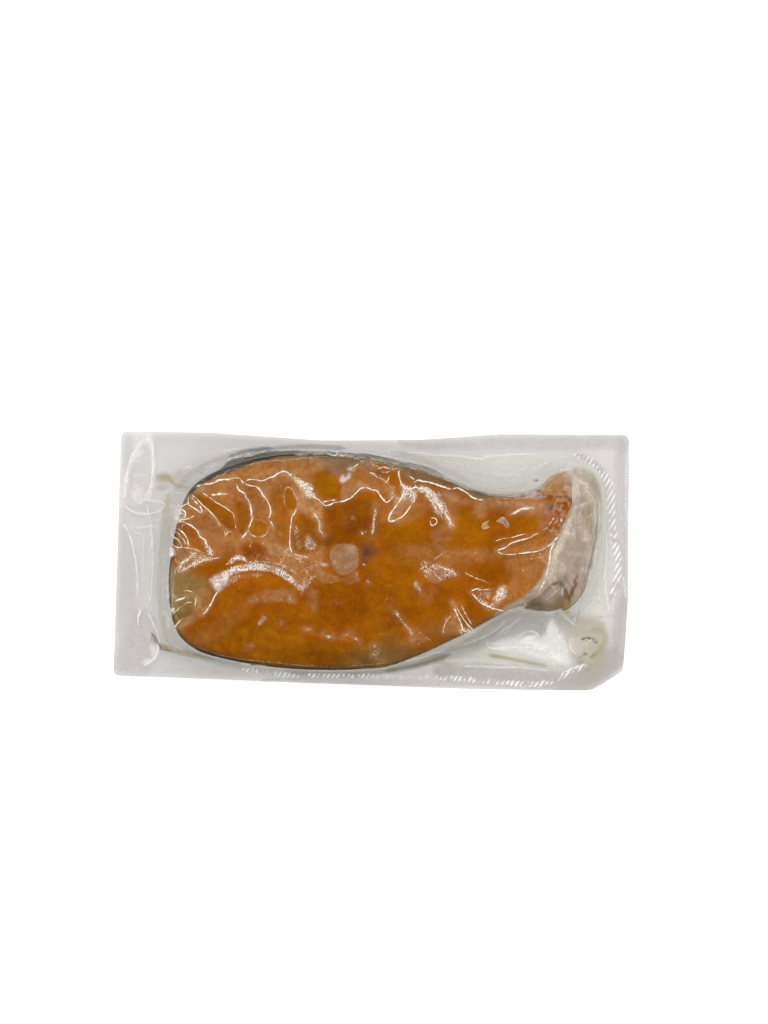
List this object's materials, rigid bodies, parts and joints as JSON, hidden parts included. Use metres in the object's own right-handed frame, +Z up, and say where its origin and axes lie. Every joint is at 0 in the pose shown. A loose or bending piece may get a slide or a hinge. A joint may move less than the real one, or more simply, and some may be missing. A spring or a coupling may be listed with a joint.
{
  "type": "vacuum-packed raw salmon steak",
  "caption": "Whole cut of raw salmon with skin, backbone and belly lining, drawn down flat in a clear sealed film with a wide welded rim.",
  "frame": {"origin": "middle of the pack's outline, on the surface that it lies on", "axes": "+X from the back of the fish towards its belly, along the pack's long side; +Z up out of the surface, through the thin way of the pack"},
  "size_m": [0.212, 0.1066, 0.0238],
  "materials": {
    "packed_steak": "glossy film tight on moist flesh",
    "clear_film": "clear, creased, glossy",
    "salmon_flesh": "moist amber flesh with fine muscle arcs",
    "fish_skin": "dark grey, turning silver along the upper flank",
    "backbone": "pale cut bone in rings",
    "belly_lining": "white membrane with grey and brown tints",
    "juice": "thin yellow-brown juice"
  },
  "bodies": {
    "root": {"vacuum_pack": "packed_steak"}
  },
  "joints": []
}
